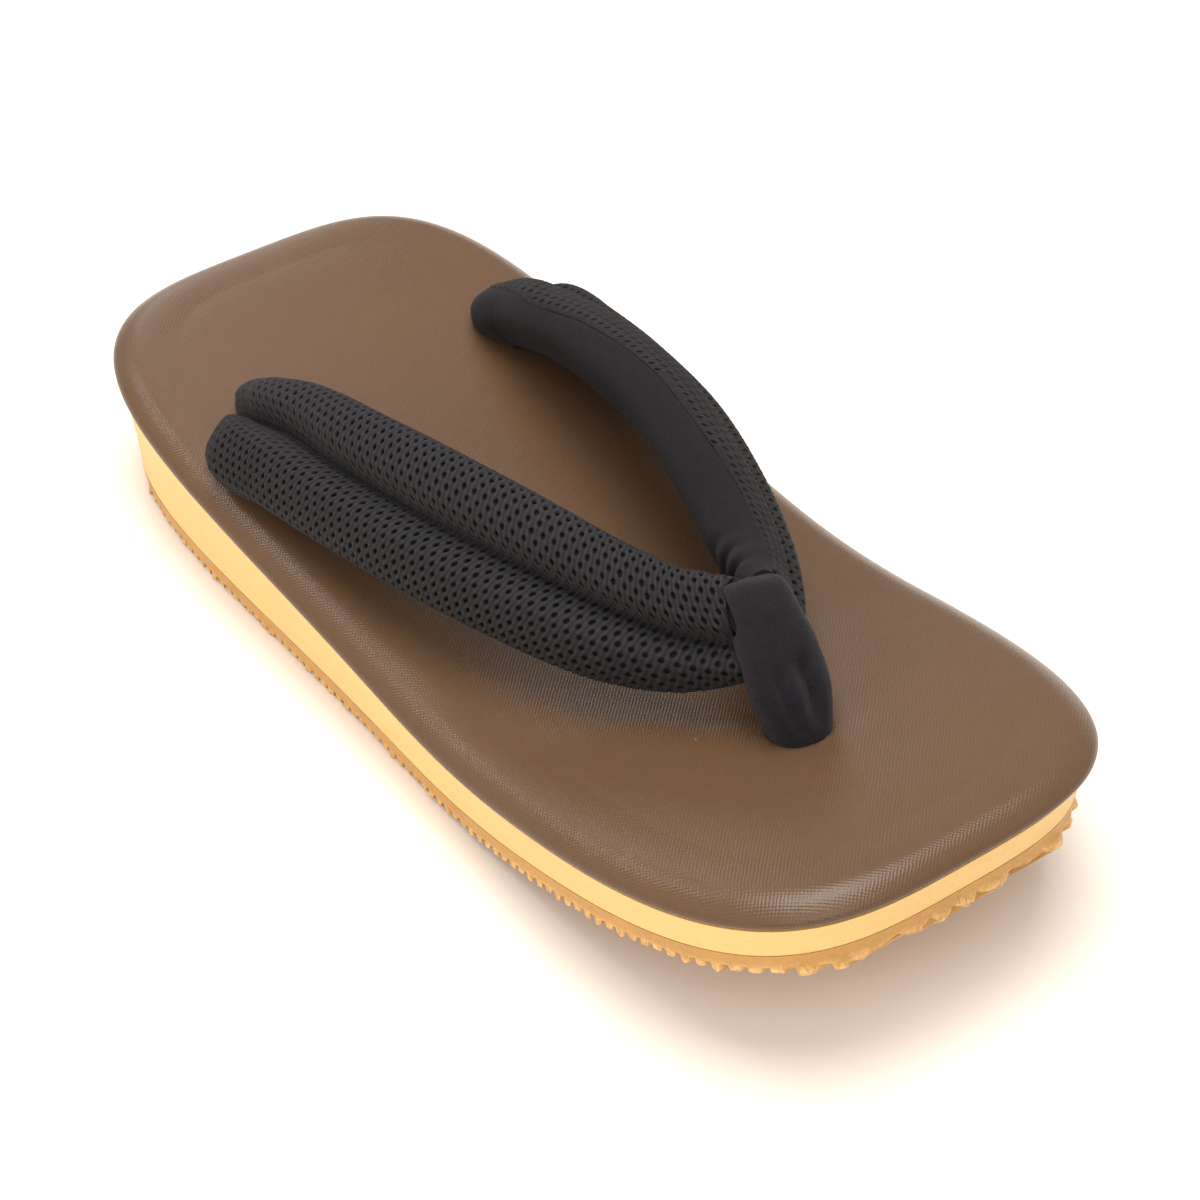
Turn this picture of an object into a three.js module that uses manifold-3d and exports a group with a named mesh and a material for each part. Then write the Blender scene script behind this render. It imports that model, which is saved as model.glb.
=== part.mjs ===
// A setta sandal for either foot: a ribbed rubber outsole, a foam wedge, a padded footbed, a padded
// V-shaped strap let into the footbed at its two rear ends, and the cloth loop that holds the point of
// the V. Toe along +X, +Z up, standing on z = 0, with the origin under the middle of the sandal.
import * as THREE from "three";
import { mergeVertices } from "three/addons/utils/BufferGeometryUtils.js";
import Module from "manifold-3d";

const wasm = await Module();
wasm.setup();

// Driving dimensions, in millimetres.
const HALF_LENGTH = 127.5;
const GAP = 0.3; // left between pieces that meet
const SAME_PLACE = 1e-4; // vertices closer than this are one

// Plan of the footbed's rim. A place u along the sandal is a share of the half length, from -1 at the
// heel's tip to 1 at the toe's.
const WAIST_HALF_WIDTH = 51.5;
const TOE_EXTRA = 1.1; // half width that the toe end has over the middle
const END_FLARE = 7.8; // spread of both ends, before their corners round it off
const TOE_SQUARENESS = 3.34;
const HEEL_SQUARENESS = 3.72;

// Side view: the thickness under the footbed, which falls from heel to toe, and the lift of the toe.
const HEEL_THICKNESS = 30.1;
const BALL_THICKNESS = 16.1;
const TOE_THICKNESS = 12.5;
const BALL_AT = 0.25;
const BEND_FROM = 12; // the underside is flat up to here
const BEND_TO = 54; // and from here it rises straight to the toe
const TOE_RISE = 0.241; // slope of that rise

// Outsole: a rubber sheet with straight ribs across it.
const OUTSOLE_THICKNESS = 4.85;
const OUTSOLE_TOP_INSET = 2.7;
const OUTSOLE_FOOT_INSET = 3.1;
const RIB_COUNT = 83;
const RIB_DEPTH = 1.6;
const RIB_CREST = 0.5; // shares of one rib's pitch
const RIB_WALL = 0.1;

// Wedge and footbed, as rings that follow the rim: how far each is set in, and its height.
const WEDGE_RINGS = [
  { inset: 2.7, share: 0 },
  { inset: 2.5, share: 0.3 },
  { inset: 1.9, share: 0.7 },
  { inset: 1.2, share: 1 },
];
const FOOTBED_RINGS = [
  { inset: 1.2, rise: GAP },
  { inset: 0.3, rise: 1.0 },
  { inset: 0.0, rise: 1.8 },
  { inset: 0.4, rise: 2.8 },
  { inset: 1.7, rise: 3.8 },
  { inset: 4.2, rise: 4.9 },
  { inset: 8.0, rise: 5.8 },
  { inset: 13.5, rise: 6.5 },
];
const PLAN_STEPS = 64;

// One strap arm, from its rear end to the point of the V: the middle of each section, its width across
// the two rolls, its thickness, and how far its face leans back from upright, in degrees.
const ARM_SECTIONS = [
  { x: -69.4, out: 36.6, z: 31.8, width: 7.0, thick: 4.5, lean: 62 },
  { x: -67.8, out: 36.7, z: 33.0, width: 18.0, thick: 10.0, lean: 62 },
  { x: -64.0, out: 36.9, z: 35.0, width: 24.0, thick: 13.0, lean: 61 },
  { x: -57.0, out: 37.0, z: 37.4, width: 26.5, thick: 14.0, lean: 57 },
  { x: -45.0, out: 35.5, z: 40.8, width: 28.0, thick: 14.0, lean: 48 },
  { x: -25.0, out: 33.9, z: 44.2, width: 29.0, thick: 14.0, lean: 38 },
  { x: 0.0, out: 30.2, z: 46.4, width: 29.8, thick: 14.0, lean: 34.5 },
  { x: 22.0, out: 24.2, z: 45.9, width: 29.2, thick: 14.0, lean: 34 },
  { x: 40.0, out: 17.8, z: 44.6, width: 27.4, thick: 13.5, lean: 32 },
  { x: 52.0, out: 11.8, z: 44.9, width: 25.0, thick: 12.0, lean: 29 },
  { x: 60.0, out: 6.8, z: 47.0, width: 22.5, thick: 9.5, lean: 25 },
  { x: 67.5, out: 2.9, z: 50.6, width: 18.5, thick: 6.5, lean: 22 },
];
const ARM_STEPS = 36;
const ARM_SIDES = 24;
const ROLL_FULLNESS = 0.85; // power that squares the section's corners off
const CHANNEL_DEPTH = 0.3; // share of the thickness
const CHANNEL_WIDTH = 0.14; // share of the width

// Tail of a strap arm, which goes down into its hole in the footbed.
const TAIL = { x: -62.5, out: 36.8, top: 33, halfLength: 4, halfWidth: 6 };
const TAIL_SIDES = 20;

// Front loop, from its hole in the footbed up over the point of the V: the middle of each section, in
// the sandal's middle plane, and half its depth and width.
const LOOP_SECTIONS = [
  { x: 78.2, z: 27.2, depth: 5.6, width: 6.0 },
  { x: 78.0, z: 32.0, depth: 6.4, width: 6.8 },
  { x: 75.4, z: 38.9, depth: 5.9, width: 7.4 },
  { x: 71.6, z: 45.6, depth: 5.5, width: 8.2 },
  { x: 67.6, z: 51.6, depth: 5.3, width: 8.8 },
  { x: 64.6, z: 56.0, depth: 4.8, width: 8.2 },
  { x: 62.8, z: 59.0, depth: 3.4, width: 6.2 },
  { x: 62.2, z: 60.0, depth: 1.4, width: 2.6 },
];
const LOOP_STEPS = 18;
const LOOP_SIDES = 18;

const UP = new THREE.Vector3(0, 0, 1);

// Half width of an outline that is set in from the rim.
function halfWidth(u, inset) {
  const squareness = u > 0 ? TOE_SQUARENESS : HEEL_SQUARENESS;
  const side = WAIST_HALF_WIDTH + TOE_EXTRA * u + END_FLARE * u * u - inset;
  return side * (1 - Math.abs(u) ** squareness) ** (1 / squareness);
}

// Height of the sole's underside.
function undersideAt(x) {
  const bent = THREE.MathUtils.clamp(x, BEND_FROM, BEND_TO) - BEND_FROM;
  const straight = Math.max(0, x - BEND_TO);
  return TOE_RISE * ((bent * bent) / (2 * (BEND_TO - BEND_FROM)) + straight);
}

// Height of the line where wedge and footbed meet: a curve through the three thicknesses, set on the
// underside.
function seatAt(x) {
  const u = x / HALF_LENGTH;
  const heel = (HEEL_THICKNESS * (u - BALL_AT) * (u - 1)) / (2 * (1 + BALL_AT));
  const ball = (BALL_THICKNESS * (u * u - 1)) / (BALL_AT * BALL_AT - 1);
  const toe = (TOE_THICKNESS * (u + 1) * (u - BALL_AT)) / (2 * (1 - BALL_AT));
  return undersideAt(x) + heel + ball + toe;
}

// Depth of the grooves between the ribs, u along the outsole's own length.
function grooveAt(u) {
  const along = (((u + 1) / 2) * RIB_COUNT) % 1;
  const down = (along - RIB_CREST) / RIB_WALL;
  const back = (1 - along) / RIB_WALL;
  return RIB_DEPTH * THREE.MathUtils.clamp(Math.min(down, back), 0, 1);
}

function meshGeometry(points, triangles) {
  const geometry = new THREE.BufferGeometry().setFromPoints(points);
  const kept = triangles.filter(([a, b, c]) => a !== b && b !== c && c !== a);
  return geometry.setIndex(kept.flat());
}

// A closed form stacked from rings that follow the rim, from the lowest up. Each ring runs along the
// right side from heel to toe and back along the left, and the first and last are closed by strips
// across the sandal.
function stackRings(stations, rings) {
  const last = stations.length - 1;
  const around = 2 * last;
  const points = [];
  for (const ring of rings) {
    for (let k = 0; k < around; k++) {
      const u = stations[k <= last ? k : around - k];
      const x = (HALF_LENGTH - ring.inset) * u;
      const side = k <= last ? -1 : 1;
      points.push(new THREE.Vector3(x, side * halfWidth(u, ring.inset), ring.height(x, u)));
    }
  }
  const triangles = [];
  for (let ring = 0; ring + 1 < rings.length; ring++) {
    const low = ring * around;
    for (let k = 0; k < around; k++) {
      const next = (k + 1) % around;
      triangles.push([low + k, low + next, low + around + next]);
      triangles.push([low + k, low + around + next, low + around + k]);
    }
  }
  const top = (rings.length - 1) * around;
  for (let k = 0; k < last; k++) {
    const left = (around - k) % around;
    const leftNext = around - k - 1;
    triangles.push([k, leftNext, k + 1], [k, left, leftNext]);
    triangles.push([top + k, top + k + 1, top + leftNext], [top + k, top + leftNext, top + left]);
  }
  return meshGeometry(points, triangles);
}

// A closed form through sections with as many points each, closed by a fan at either end.
function loftSections(sections) {
  const sides = sections[0].length;
  const points = sections.flat();
  const triangles = [];
  for (let s = 0; s + 1 < sections.length; s++) {
    for (let k = 0; k < sides; k++) {
      const next = (k + 1) % sides;
      const [a, b] = [s * sides + k, s * sides + next];
      triangles.push([a, b, b + sides], [a, b + sides, a + sides]);
    }
  }
  for (const [section, turn] of [[0, 1], [sections.length - 1, -1]]) {
    const middle = new THREE.Vector3();
    sections[section].forEach((point) => middle.addScaledVector(point, 1 / sides));
    const hub = points.push(middle) - 1;
    for (let k = 0; k < sides; k++) {
      const a = section * sides + k;
      const b = section * sides + ((k + 1) % sides);
      triangles.push(turn > 0 ? [hub, b, a] : [hub, a, b]);
    }
  }
  return meshGeometry(points, triangles);
}

// Rows read off at even steps along the line through their middles, each with the direction of that line.
function evenRows(rows, steps) {
  const keys = Object.keys(rows[0]);
  const reach = [0];
  rows.slice(1).forEach((row, i) => {
    const before = rows[i];
    const across = (row.out ?? 0) - (before.out ?? 0);
    reach.push(reach[i] + Math.hypot(row.x - before.x, across, row.z - before.z));
  });
  const samples = rows.flatMap((row) => keys.map((key) => row[key]));
  const curve = new THREE.CubicInterpolant(reach, samples, keys.length);
  const even = [];
  for (let s = 0; s <= steps; s++) {
    const values = [...curve.evaluate((reach.at(-1) * s) / steps)];
    const row = Object.fromEntries(keys.map((key, i) => [key, values[i]]));
    even.push({ ...row, middle: new THREE.Vector3(row.x, row.out ?? 0, row.z) });
  }
  even.forEach((row, s) => {
    const ahead = even[Math.min(s + 1, steps)].middle;
    const behind = even[Math.max(s - 1, 0)].middle;
    row.along = ahead.clone().sub(behind).normalize();
  });
  return even;
}

function power(value, exponent) {
  return Math.sign(value) * Math.abs(value) ** exponent;
}

// The arm on the left: two rolls with a sewn channel between them on the face, grown all round.
function armGeometry(grow) {
  const sections = evenRows(ARM_SECTIONS, ARM_STEPS).map((row) => {
    const lean = THREE.MathUtils.degToRad(row.lean);
    const outward = UP.clone().cross(row.along).normalize();
    const upright = row.along.clone().cross(outward);
    const [cos, sin] = [Math.cos(lean), Math.sin(lean)];
    const across = upright.clone().multiplyScalar(cos).addScaledVector(outward, -sin);
    const face = outward.clone().multiplyScalar(cos).addScaledVector(upright, sin);
    const section = [];
    for (let k = 0; k < ARM_SIDES; k++) {
      const turn = (-2 * Math.PI * k) / ARM_SIDES;
      const a = power(Math.cos(turn), ROLL_FULLNESS) * (row.width / 2 + grow);
      const b = power(Math.sin(turn), ROLL_FULLNESS) * (row.thick / 2 + grow);
      const fromSeam = a / (CHANNEL_WIDTH * row.width);
      const sunk = b > 0 ? CHANNEL_DEPTH * row.thick * Math.exp(-fromSeam * fromSeam) : 0;
      section.push(row.middle.clone().addScaledVector(across, a).addScaledVector(face, b - sunk));
    }
    return section;
  });
  return loftSections(sections);
}

// A tail, standing on the wedge inside its hole.
function tailGeometry(grow) {
  const foot = seatAt(TAIL.x) + 2 * GAP;
  const oval = new THREE.Shape();
  oval.absellipse(0, 0, TAIL.halfLength + grow, TAIL.halfWidth + grow, 0, 2 * Math.PI);
  const shape = { depth: TAIL.top - foot + 2 * grow, bevelEnabled: false, curveSegments: TAIL_SIDES };
  return new THREE.ExtrudeGeometry(oval, shape).translate(TAIL.x, TAIL.out, foot - grow);
}

// The front loop before the strap is cut out of it.
function loopGeometry(grow) {
  const sections = evenRows(LOOP_SECTIONS, LOOP_STEPS).map((row) => {
    const forward = new THREE.Vector3(row.along.z, 0, -row.along.x);
    const section = [];
    for (let k = 0; k < LOOP_SIDES; k++) {
      const turn = (2 * Math.PI * k) / LOOP_SIDES;
      const point = row.middle.clone().addScaledVector(forward, Math.cos(turn) * (row.depth + grow));
      point.y += Math.sin(turn) * (row.width + grow);
      section.push(point);
    }
    return section;
  });
  return loftSections(sections);
}

function footbedGeometry(grow) {
  const rings = FOOTBED_RINGS.map(({ inset, rise }, i) => {
    const lift = i > 0 ? rise + grow : rise;
    return { inset, height: (x) => seatAt(x) + lift };
  });
  return stackRings(planStations(), rings);
}

// Places along the rim, closer together towards the rounded ends.
function planStations() {
  const turns = Array.from({ length: PLAN_STEPS + 1 }, (_, k) => k / PLAN_STEPS - 0.5);
  return turns.map((turn) => Math.sin(turn * Math.PI));
}

// A form with only places left, and one vertex wherever several meet.
function joinedVertices(geometry) {
  return mergeVertices(geometry.clone().deleteAttribute("normal").deleteAttribute("uv"), SAME_PLACE);
}

function solidFrom(geometry) {
  const joined = joinedVertices(geometry);
  const vertProperties = joined.getAttribute("position").array;
  const triVerts = new Uint32Array(joined.index.array);
  return new wasm.Manifold(new wasm.Mesh({ numProp: 3, vertProperties, triVerts }));
}

// The same form on the sandal's other side, its faces turned back to point out.
function mirrored(geometry) {
  const turned = joinedVertices(geometry).scale(1, -1, 1);
  const index = turned.index;
  for (let i = 0; i < index.count; i += 3) {
    const second = index.getX(i + 1);
    index.setX(i + 1, index.getX(i + 2));
    index.setX(i + 2, second);
  }
  return turned;
}

function bothSides(geometry) {
  return solidFrom(geometry).add(solidFrom(mirrored(geometry)));
}

function geometryFrom(solid) {
  const mesh = solid.getMesh();
  const positions = new THREE.BufferAttribute(mesh.vertProperties, mesh.numProp);
  const geometry = new THREE.BufferGeometry().setAttribute("position", positions);
  return geometry.setIndex(new THREE.BufferAttribute(mesh.triVerts, 1));
}

// The outsole's stations: the corners of every rib, and the rim's own towards the rounded ends.
function outsole() {
  const corners = [0, RIB_CREST, RIB_CREST + RIB_WALL, 1 - RIB_WALL];
  const ribs = Array.from({ length: RIB_COUNT }, (_, rib) => corners.map((corner) => rib + corner)).flat();
  const marks = ribs.map((place) => (2 * place) / RIB_COUNT - 1);
  const pitch = 2 / RIB_COUNT;
  const ends = planStations().filter((u) => Math.abs(u) > 1 - pitch * RIB_CREST);
  const stations = [...new Set([...marks, ...ends])].sort((a, b) => a - b);
  return stackRings(stations, [
    { inset: OUTSOLE_FOOT_INSET, height: (x, u) => undersideAt(x) + grooveAt(u) },
    { inset: OUTSOLE_TOP_INSET, height: (x) => undersideAt(x) + OUTSOLE_THICKNESS },
  ]);
}

function wedge() {
  const rings = WEDGE_RINGS.map(({ inset, share }) => ({
    inset,
    height: (x) => THREE.MathUtils.lerp(undersideAt(x) + OUTSOLE_THICKNESS + GAP, seatAt(x), share),
  }));
  return stackRings(planStations(), rings);
}

function footbed() {
  const holes = bothSides(tailGeometry(GAP)).add(solidFrom(loopGeometry(GAP)));
  return geometryFrom(solidFrom(footbedGeometry(0)).subtract(holes));
}

// The two arms joined at the point of the V, flattened where their rear ends rest on the footbed.
function strap() {
  const arms = bothSides(armGeometry(0)).subtract(solidFrom(footbedGeometry(GAP)));
  return geometryFrom(arms.add(bothSides(tailGeometry(0))));
}

function frontLoop() {
  return geometryFrom(solidFrom(loopGeometry(0)).subtract(bothSides(armGeometry(GAP))));
}

const PIECES = [
  { name: "outsole", geometry: outsole(), color: 0xd8a45c, roughness: 0.6 },
  { name: "midsole", geometry: wedge(), color: 0xf6cf86, roughness: 0.55 },
  { name: "footbed", geometry: footbed(), color: 0x8a6e5b, roughness: 0.5 },
  { name: "strap", geometry: strap(), color: 0x2c292b, roughness: 0.85 },
  { name: "front_loop", geometry: frontLoop(), color: 0x242125, roughness: 0.95 },
];

const sandal = new THREE.Group();
for (const { name, geometry, color, roughness } of PIECES) {
  const finish = new THREE.MeshStandardMaterial({ color, roughness, metalness: 0 });
  const piece = new THREE.Mesh(geometry, finish);
  piece.name = name;
  sandal.add(piece);
}

export default sandal;
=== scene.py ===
import math

import bmesh
import bpy
import numpy as np
from mathutils import Euler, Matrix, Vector


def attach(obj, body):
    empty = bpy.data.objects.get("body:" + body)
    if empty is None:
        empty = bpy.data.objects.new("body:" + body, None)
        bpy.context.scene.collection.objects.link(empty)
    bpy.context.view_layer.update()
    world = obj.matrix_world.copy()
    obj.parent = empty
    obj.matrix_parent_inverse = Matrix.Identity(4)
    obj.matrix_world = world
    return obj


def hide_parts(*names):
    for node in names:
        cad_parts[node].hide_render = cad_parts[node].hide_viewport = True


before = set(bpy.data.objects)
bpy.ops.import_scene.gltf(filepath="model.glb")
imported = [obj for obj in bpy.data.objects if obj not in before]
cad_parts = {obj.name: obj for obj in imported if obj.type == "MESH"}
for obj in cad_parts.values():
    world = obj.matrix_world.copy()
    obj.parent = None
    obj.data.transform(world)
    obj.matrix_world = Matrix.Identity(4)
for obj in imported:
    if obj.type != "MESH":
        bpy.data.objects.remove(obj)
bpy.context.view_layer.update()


# Outsole
# A sheet of amber gum rubber about 5 mm thick, moulded with straight ribs across its underside and
# cemented under the wedge. Its edge is trimmed by knife after gluing, which leaves the rib ends ragged.
# Lengths are in millimetres, and MM turns them into metres.
MM = 0.001
HALF_LENGTH = 127.5
WAIST_HALF_WIDTH = 51.5
TOE_EXTRA = 1.1
END_FLARE = 7.8
TOE_SQUARENESS = 3.34
HEEL_SQUARENESS = 3.72
BEND_FROM = 12
BEND_TO = 54
TOE_RISE = 0.241
OUTSOLE_THICKNESS = 4.85
OUTSOLE_TOP_INSET = 2.7
OUTSOLE_FOOT_INSET = 3.1
RIB_COUNT = 83
RIB_DEPTH = 1.6
RIB_CREST = 0.5
RIB_WALL = 0.1
RIB_STATIONS = np.array([0, 0.08, 0.25, 0.42, 0.5, 0.6, 0.75, 0.9])
TIP_STATIONS = np.linspace(0.02, 1, 52) ** 3
WALL_SHARES = np.array([0, 0.2, 0.38, 0.52, 0.66, 0.8, 0.92, 1])
ACROSS_SHARES = np.array([0.012, 0.03, 0.06, 0.12, 0.22, 0.36])
OUTSOLE_SHARP_ABOVE = 38
TREAD_EDGE = 0.03
RAGGED_SEED = 11
RAGGED_FROM = 1.9
RAGGED_OVER = 2.2
RAGGED_REACH = 0.6
RAGGED_SHARES = (0.1, 1)
RAGGED_TRIM = 0.12
RAGGED_TOE_EXTRA = 1.1
RAGGED_TOE_RUN = (0.5, 0.95)
CHIP_DEPTH = 0.5
CHIP_SHARES = (0.3, 1)
CRUMB = 0.07
TOOTH_AT = (0.13, 0.37)
TOOTH_WIDTH = (0.16, 0.32)
LOBE_PITCH = 7.0
LOBE_PHASE = 0.7
LOBE_ROUNDNESS = 0.8
LOBE_RUN = (0.93, 0.99)
LOBE_WANDER = 1.4
LOBE_WANDER_RUN = 5.1
LOBE_WANDER_PHASE = 0.5
LOBE_REACH = 1.1
LOBE_DROOP = 0.35


def half_width(station, inset):
    """Half the width at a station from -1 at the heel to 1 at the toe, less an inset all round."""
    squareness = np.where(station > 0, TOE_SQUARENESS, HEEL_SQUARENESS)
    bulge = np.maximum(0, 1 - np.abs(station) ** squareness) ** (1 / squareness)
    return (WAIST_HALF_WIDTH + TOE_EXTRA * station + END_FLARE * station * station - inset) * bulge


def underside(x):
    bend = np.clip(x, BEND_FROM, BEND_TO) - BEND_FROM
    return TOE_RISE * (bend**2 / (2 * (BEND_TO - BEND_FROM)) + np.maximum(0, x - BEND_TO))


def ramp(value, start, end):
    share = np.clip((value - start) / (end - start), 0, 1)
    return share * share * (3 - 2 * share)


def bell(value):
    return np.exp(-(value**2))


def unit(vectors):
    return vectors / np.linalg.norm(vectors, axis=-1, keepdims=True)


def rib_lift(place):
    along = np.mod(place, 1)
    rising = np.clip((along - RIB_CREST) / RIB_WALL, 0, 1)
    return RIB_DEPTH * rising * np.clip((1 - along) / RIB_WALL, 0, 1)


def add_piece(name, points, faces, sharp_above=None):
    mesh = bpy.data.meshes.new(name)
    mesh.from_pydata((np.asarray(points) * MM).tolist(), [], faces)
    mesh.shade_smooth()
    if sharp_above is not None:
        mesh.set_sharp_from_angle(angle=math.radians(sharp_above))
    piece = bpy.data.objects.new(name, mesh)
    bpy.context.scene.collection.objects.link(piece)
    return piece


def face_outwards(piece):
    shell = bmesh.new()
    shell.from_mesh(piece.data)
    bmesh.ops.recalc_face_normals(shell, faces=shell.faces)
    shell.to_mesh(piece.data)
    shell.free()


def keep_mask(piece, name, values):
    layer = piece.data.attributes.new(name, "FLOAT", "POINT")
    layer.data.foreach_set("value", np.asarray(values, np.float32))


def outsole_shape():
    """Cross sections from heel to toe, and a mask of the ragged cut edge."""
    tips = [TIP_STATIONS, RIB_COUNT - TIP_STATIONS[::-1]]
    ribs = [k + RIB_STATIONS for k in range(1, RIB_COUNT - 1)]
    place = np.unique(np.concatenate(tips + ribs))
    station = (2 * place / RIB_COUNT - 1)[:, None]
    rib = place.astype(int)
    along = np.mod(place, 1)
    toe = 1 + RAGGED_TOE_EXTRA * ramp(station[:, 0], *RAGGED_TOE_RUN)
    width = half_width(station[:, 0], OUTSOLE_FOOT_INSET)
    ragged = np.random.default_rng(RAGGED_SEED)
    walls, masks = [], []
    for side in (-1, 1):
        reach = RAGGED_REACH * ragged.uniform(*RAGGED_SHARES, RIB_COUNT + 1)[rib] ** 2
        tooth_at = ragged.uniform(*TOOTH_AT, RIB_COUNT + 1)[rib]
        tooth_width = ragged.uniform(*TOOTH_WIDTH, RIB_COUNT + 1)[rib]
        tooth = bell((along - tooth_at) / tooth_width)
        chip = ragged.uniform(0, CHIP_DEPTH, RIB_COUNT + 1)[rib]
        chip = chip * ragged.uniform(*CHIP_SHARES, len(place))
        lift = rib_lift(place) + chip * (rib_lift(place) == 0)
        depth = WALL_SHARES * (OUTSOLE_THICKNESS - lift)[:, None]
        loose = ramp(depth, RAGGED_FROM, RAGGED_FROM + RAGGED_OVER)
        crumbs = ragged.normal(0, CRUMB, depth.shape)
        wander = LOBE_WANDER * np.sin(side * width / LOBE_WANDER_RUN + LOBE_WANDER_PHASE)
        scallop = np.abs(np.sin(math.pi * (side * width + wander) / LOBE_PITCH + LOBE_PHASE))
        lobe = ramp(station[:, 0], *LOBE_RUN) * scallop**LOBE_ROUNDNESS
        flare = (reach * tooth - RAGGED_TRIM) * toe + LOBE_REACH * lobe
        flare = loose * flare[:, None] + loose * crumbs
        inset = OUTSOLE_TOP_INSET + (OUTSOLE_FOOT_INSET - OUTSOLE_TOP_INSET) * depth / OUTSOLE_THICKNESS
        inset = inset - flare
        x = (HALF_LENGTH - inset) * station
        y = side * half_width(station, inset)
        droop = LOBE_DROOP * lobe[:, None] * loose
        walls.append(np.stack([x, y, underside(x) + OUTSOLE_THICKNESS - depth - droop], axis=2))
        masks.append(loose)
    share = np.concatenate([ACROSS_SHARES, [0.5], 1 - ACROSS_SHARES[::-1]])[None, :, None]
    right_foot, left_foot = walls[0][:, -1:], walls[1][:, -1:]
    tread = right_foot * (1 - share) + left_foot * share
    from_edge = np.minimum(share, 1 - share)[..., 0]
    level = underside(tread[..., 0]) + rib_lift(place)[:, None]
    tread[..., 2] = level + (tread[..., 2] - level) * ramp(-from_edge, -TREAD_EDGE, 0)
    section = np.concatenate([walls[0], tread, walls[1][:, ::-1]], axis=1)
    mask = np.concatenate([masks[0], np.zeros(tread.shape[:2]), masks[1][:, ::-1]], axis=1)
    return section, mask


def tube_faces(rings, sides):
    """Quads between one ring of points and the next, and a closing face at either end."""
    faces = []
    for k in range(rings - 1):
        for j in range(sides):
            here, there = k * sides + j, k * sides + (j + 1) % sides
            faces.append((here, there, there + sides, here + sides))
    faces.append(tuple(range(sides)))
    faces.append(tuple(range((rings - 1) * sides, rings * sides)))
    return faces


sections, cut_mask = outsole_shape()
outsole_faces = tube_faces(*sections.shape[:2])
outsole = add_piece("outsole_ribbed", sections.reshape(-1, 3), outsole_faces, OUTSOLE_SHARP_ABOVE)
face_outwards(outsole)
keep_mask(outsole, "cut", cut_mask.ravel())


def fill_inputs(tree, node, inputs):
    """Links each input to what another node puts out, or sets it to a constant."""
    for key, value in inputs.items():
        if isinstance(value, bpy.types.NodeSocket):
            tree.links.new(value, node.inputs[key])
        else:
            node.inputs[key].default_value = value


def add_node(tree, kind, inputs, **settings):
    node = tree.nodes.new(kind)
    for key, value in settings.items():
        setattr(node, key, value)
    fill_inputs(tree, node, inputs)
    return node


def calc(tree, operation, *values):
    return add_node(tree, "ShaderNodeMath", dict(enumerate(values)), operation=operation).outputs[0]


def mix_colours(tree, share, first, second, how="MIX"):
    inputs = {0: share, 6: first, 7: second}
    return add_node(tree, "ShaderNodeMix", inputs, data_type="RGBA", blend_type=how).outputs[2]


def remap(tree, value, between, onto=(0.0, 1.0)):
    inputs = {0: value, 1: between[0], 2: between[1], 3: onto[0], 4: onto[1]}
    return add_node(tree, "ShaderNodeMapRange", inputs).outputs[0]


def noise(tree, place, scale, detail=2.0, roughness=0.5):
    inputs = {"Vector": place, "Scale": scale, "Detail": detail, "Roughness": roughness}
    return add_node(tree, "ShaderNodeTexNoise", inputs).outputs[0]


def stretched(tree, vector, factors):
    inputs = {0: vector, 1: factors}
    return add_node(tree, "ShaderNodeVectorMath", inputs, operation="MULTIPLY").outputs[0]


def place_in_mm(tree, stretch=(1, 1, 1)):
    """Object coordinates in millimetres, times a factor for each axis."""
    coordinates = add_node(tree, "ShaderNodeTexCoord", {}).outputs["Object"]
    return stretched(tree, coordinates, tuple(factor / MM for factor in stretch))


SOCKET_KINDS = {1: "NodeSocketFloat", 3: "NodeSocketVector", 4: "NodeSocketColor"}


def new_group(name, inputs, outputs):
    group = bpy.data.node_groups.new(name, "ShaderNodeTree")
    for label, value in inputs.items():
        kind = SOCKET_KINDS[np.size(value)]
        group.interface.new_socket(label, in_out="INPUT", socket_type=kind).default_value = value
    for label, kind in outputs:
        group.interface.new_socket(label, in_out="OUTPUT", socket_type=kind)
    return group, group.nodes.new("NodeGroupInput").outputs, group.nodes.new("NodeGroupOutput").inputs


def place_group(tree, group, inputs):
    return add_node(tree, "ShaderNodeGroup", inputs, node_tree=group).outputs


def blend(tree, first, second, share):
    parts = calc(tree, "MULTIPLY", first, share), calc(tree, "MULTIPLY", second, 1 - share)
    return calc(tree, "ADD", *parts)


def brightened(tree, colour, bright):
    grey = add_node(tree, "ShaderNodeCombineColor", {0: bright, 1: bright, 2: bright}).outputs[0]
    return mix_colours(tree, 1.0, colour, grey, "MULTIPLY")


FINE_CLOUDS = 9.0
BROAD_SHARE = 0.65


def mottling_group():
    """Cloudy change of a colour's brightness, broad and fine together."""
    inputs = {"Colour": (0.5, 0.5, 0.5, 1), "Spread": 0.2, "Scale": 0.1}
    group, given, result = new_group("mottling", inputs, [("Colour", "NodeSocketColor")])
    place = place_in_mm(group)
    broad = noise(group, place, given["Scale"], detail=3)
    fine = noise(group, place, calc(group, "MULTIPLY", given["Scale"], FINE_CLOUDS), detail=2)
    cloud = blend(group, broad, fine, BROAD_SHARE)
    change = calc(group, "MULTIPLY", calc(group, "SUBTRACT", cloud, 0.5), given["Spread"])
    bright = calc(group, "MULTIPLY_ADD", change, 2.0, 1.0)
    group.links.new(brightened(group, given["Colour"], bright), result["Colour"])
    return group


MOTTLING = mottling_group()


def mottled(tree, colour, spread, scale):
    return place_group(tree, MOTTLING, {"Colour": colour, "Spread": spread, "Scale": scale})["Colour"]


def new_material(name):
    material = bpy.data.materials.new(name)
    material.use_nodes = True
    tree = material.node_tree
    return material, tree, tree.nodes["Principled BSDF"]


def set_shader(tree, shader, **values):
    fill_inputs(tree, shader, {key.replace("_", " "): value for key, value in values.items()})


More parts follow.
